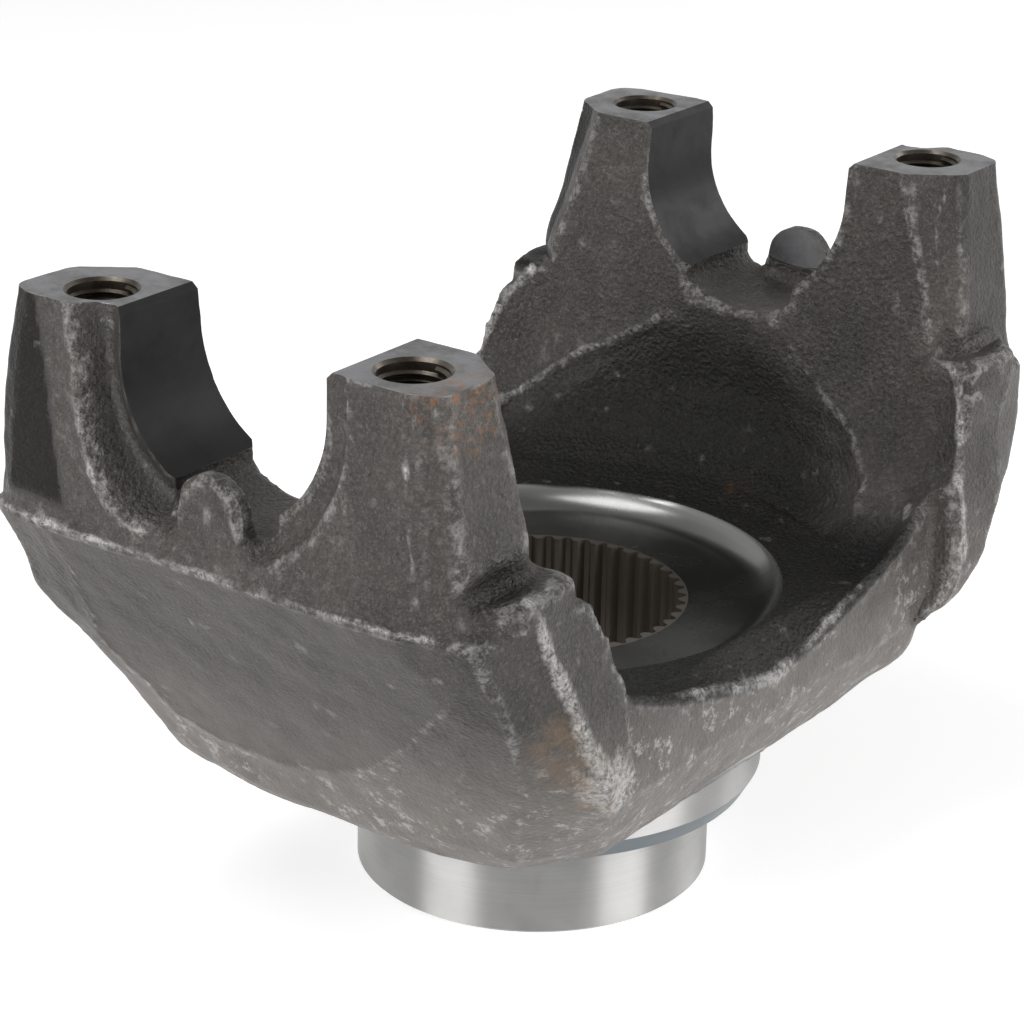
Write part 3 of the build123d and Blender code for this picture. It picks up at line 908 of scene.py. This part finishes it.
def turnedSteel(name):
    f = turnedFinish[name]
    colour, rough = f["colour"], f["rough"]
    material, shader = newMaterial(name)
    r = Recipe(material)
    split = r.nodes.new("ShaderNodeSeparateXYZ")
    r.links.new(r.coords, split.inputs[0])
    x, y = split.outputs[0], split.outputs[1]
    radius = r.math("SQRT", r.math("ADD", r.both(x, x), r.both(y, y)))
    join = r.nodes.new("ShaderNodeCombineXYZ")
    r.links.new(radius, join.inputs[0])
    r.links.new(split.outputs[2], join.inputs[2])
    rings = r.noise(0.55, 4, 0.7, join.outputs[0])
    cloud = r.noise(14, 4, 0.6)
    dark = tuple(c * 0.80 for c in colour)
    tone = r.blend(r.ramp(rings, 0.35, 0.7, 0.0, 0.5), colour, dark)
    tone = r.blend(r.ramp(cloud, 0.45, 0.75, 0, 0.4), tone, dark)
    r.put(shader.inputs["Base Color"], tone)
    shader.inputs["Metallic"].default_value = 1.0
    r.put(shader.inputs["Roughness"], r.ramp(cloud, 0.3, 0.7, rough - 0.03, rough + 0.06))
    shader.inputs["Anisotropic"].default_value = f["anisotropy"]
    shader.inputs["Anisotropic Rotation"].default_value = 0.25
    tangent = r.nodes.new("ShaderNodeTangent")
    tangent.direction_type = "RADIAL"
    tangent.axis = "Z"
    r.links.new(tangent.outputs[0], shader.inputs["Tangent"])
    r.put(shader.inputs["Normal"], r.bump(rings, 0.20, 0.02))
    return material


forgedMaterial = forgedSteel()
milledMaterial = machinedSteel("milled")
boredMaterial = machinedSteel("bored")
drilledMaterial = machinedSteel("drilled")
dishMaterial = turnedSteel("turnedDish")
hubMaterial = turnedSteel("turnedSteel")
collarMaterial = turnedSteel("blueCollar")
splineMaterial = turnedSteel("splineSteel")

for piece in (forgedBody, borePiece):
    piece.data.materials.clear()
for material in (forgedMaterial, milledMaterial, boredMaterial, dishMaterial, drilledMaterial):
    forgedBody.data.materials.append(material)
forgedBody.data.polygons.foreach_set("material_index", faceSlots)
forgedBody.data.update()
hubPiece.data.materials.append(hubMaterial)
hubPiece.data.materials.append(collarMaterial)
for polygon in hubPiece.data.polygons:
    height = polygon.center.z / mm
    sloped = abs(polygon.normal.z) > 0.2 and height < yoke["collarHeight"] + hub["collarRise"]
    if sloped and height > yoke["collarHeight"] - 0.3:
        polygon.material_index = 1
borePiece.data.materials.append(splineMaterial)
threadPiece.data.materials.append(drilledMaterial)

sharpAngle = math.radians(32)
for piece in (forgedBody, hubPiece, borePiece, threadPiece):
    piece.data.shade_smooth()
    piece.data.set_sharp_from_angle(angle=sharpAngle)
    sharpBorders(piece.data)
    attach(piece, "root")
    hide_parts("forged_yoke")
print("finishes set")


# floor, light and camera

studio = {
    "floor": (0.80, 0.80, 0.80),
    "floorHalf": 3.0,
    "floorWhite": 0.55,
    "side": 0.46,
    "zenith": 0.26,
    "white": 1.0,
    "whiteZenith": 0.35,
    "tentFrom": 0.45,
    "tentTo": 0.95,
    "target": (0, 0, 0.07),
}
# name, place, width and height in metres, and watts of each softbox
softboxes = [
    ("overhead", (-0.36, 0.22, 0.98), (0.5, 0.5), 3.4),
    ("leftFront", (-0.96, 0.275, 0.34), (0.62, 0.62), 6.0),
    ("rightFront", (0.087, -0.996, 0.34), (0.56, 0.62), 5.6),
    ("behind", (0.92, -0.40, 0.5), (0.5, 0.5), 2.5),
]


# 1 where the camera, a gloss or a clear ray looks, 0 for light that falls on things
def cameraRays(nodes, links):
    path = nodes.new("ShaderNodeLightPath")
    first = nodes.new("ShaderNodeMath")
    first.operation = "MAXIMUM"
    links.new(path.outputs["Is Camera Ray"], first.inputs[0])
    links.new(path.outputs["Is Glossy Ray"], first.inputs[1])
    second = nodes.new("ShaderNodeMath")
    second.operation = "MAXIMUM"
    links.new(first.outputs[0], second.inputs[0])
    links.new(path.outputs["Is Transmission Ray"], second.inputs[1])
    return second.outputs[0]


def paleFloor():
    bm = bmesh.new()
    bmesh.ops.create_grid(bm, x_segments=1, y_segments=1, size=studio["floorHalf"])
    floor = newPiece("floor", bm)
    material = bpy.data.materials.new("paleFloor")
    material.use_nodes = True
    nodes, links = material.node_tree.nodes, material.node_tree.links
    nodes.clear()
    out = nodes.new("ShaderNodeOutputMaterial")
    diffuse = nodes.new("ShaderNodeBsdfDiffuse")
    diffuse.inputs["Color"].default_value = (*studio["floor"], 1)
    glow = nodes.new("ShaderNodeEmission")
    glow.inputs["Strength"].default_value = studio["floorWhite"]
    both = nodes.new("ShaderNodeAddShader")
    links.new(diffuse.outputs[0], both.inputs[0])
    links.new(glow.outputs[0], both.inputs[1])
    mix = nodes.new("ShaderNodeMixShader")
    links.new(cameraRays(nodes, links), mix.inputs[0])
    links.new(diffuse.outputs[0], mix.inputs[1])
    links.new(both.outputs[0], mix.inputs[2])
    links.new(mix.outputs[0], out.inputs[0])
    floor.data.materials.append(material)


# A light tent: walls brighter than the top, white where a camera or gloss looks at its walls
def studioWorld():
    world = bpy.data.worlds.new("studio")
    world.use_nodes = True
    nodes, links = world.node_tree.nodes, world.node_tree.links
    nodes.clear()
    split = nodes.new("ShaderNodeSeparateXYZ")
    links.new(nodes.new("ShaderNodeTexCoord").outputs["Generated"], split.inputs[0])
    tents = []
    for low, high in ((studio["side"], studio["zenith"]), (studio["white"], studio["whiteZenith"])):
        height = nodes.new("ShaderNodeMapRange")
        links.new(split.outputs[2], height.inputs["Value"])
        height.inputs["From Min"].default_value = studio["tentFrom"]
        height.inputs["From Max"].default_value = studio["tentTo"]
        height.inputs["To Min"].default_value = low
        height.inputs["To Max"].default_value = high
        tent = nodes.new("ShaderNodeBackground")
        links.new(height.outputs[0], tent.inputs["Strength"])
        tents.append(tent)
    out = nodes.new("ShaderNodeOutputWorld")
    mix = nodes.new("ShaderNodeMixShader")
    links.new(cameraRays(nodes, links), mix.inputs[0])
    links.new(tents[0].outputs[0], mix.inputs[1])
    links.new(tents[1].outputs[0], mix.inputs[2])
    links.new(mix.outputs[0], out.inputs[0])
    bpy.context.scene.world = world


def softbox(name, place, size, watts):
    light = bpy.data.lights.new(name, "AREA")
    light.shape = "RECTANGLE"
    light.size, light.size_y = size
    light.energy = watts
    lamp = bpy.data.objects.new(name, light)
    lamp.location = place
    lamp.rotation_euler = (Vector(studio["target"]) - Vector(place)).to_track_quat("-Z", "Y").to_euler()
    bpy.context.scene.collection.objects.link(lamp)


# camera place in metres, angles in degrees and lens in millimetres, as fitted to the photo
view = {"place": (-0.48567, -0.34711, 0.31269), "yaw": 36.07, "pitch": 21.66, "roll": -1.04, "lens": 112.53}


def photoCamera():
    yaw, pitch, roll = (math.radians(view[k]) for k in ("yaw", "pitch", "roll"))
    ahead = Vector((math.cos(yaw) * math.cos(pitch), math.sin(yaw) * math.cos(pitch), -math.sin(pitch)))
    right = Vector((math.sin(yaw), -math.cos(yaw), 0))
    down = ahead.cross(right)
    turnedRight = math.cos(roll) * right + math.sin(roll) * down
    turnedDown = -math.sin(roll) * right + math.cos(roll) * down
    lens = bpy.data.cameras.new("photoCamera")
    lens.lens = view["lens"]
    lens.sensor_width = 36
    lens.sensor_fit = "HORIZONTAL"
    lens.clip_start = 0.01
    camera = bpy.data.objects.new("photoCamera", lens)
    turn = Matrix((turnedRight, -turnedDown, -ahead)).transposed().to_4x4()
    camera.matrix_world = Matrix.Translation(view["place"]) @ turn
    bpy.context.scene.collection.objects.link(camera)
    bpy.context.scene.camera = camera


paleFloor()
studioWorld()
for box in softboxes:
    softbox(*box)
photoCamera()
bpy.context.scene.view_settings.view_transform = "Standard"
print("studio set")
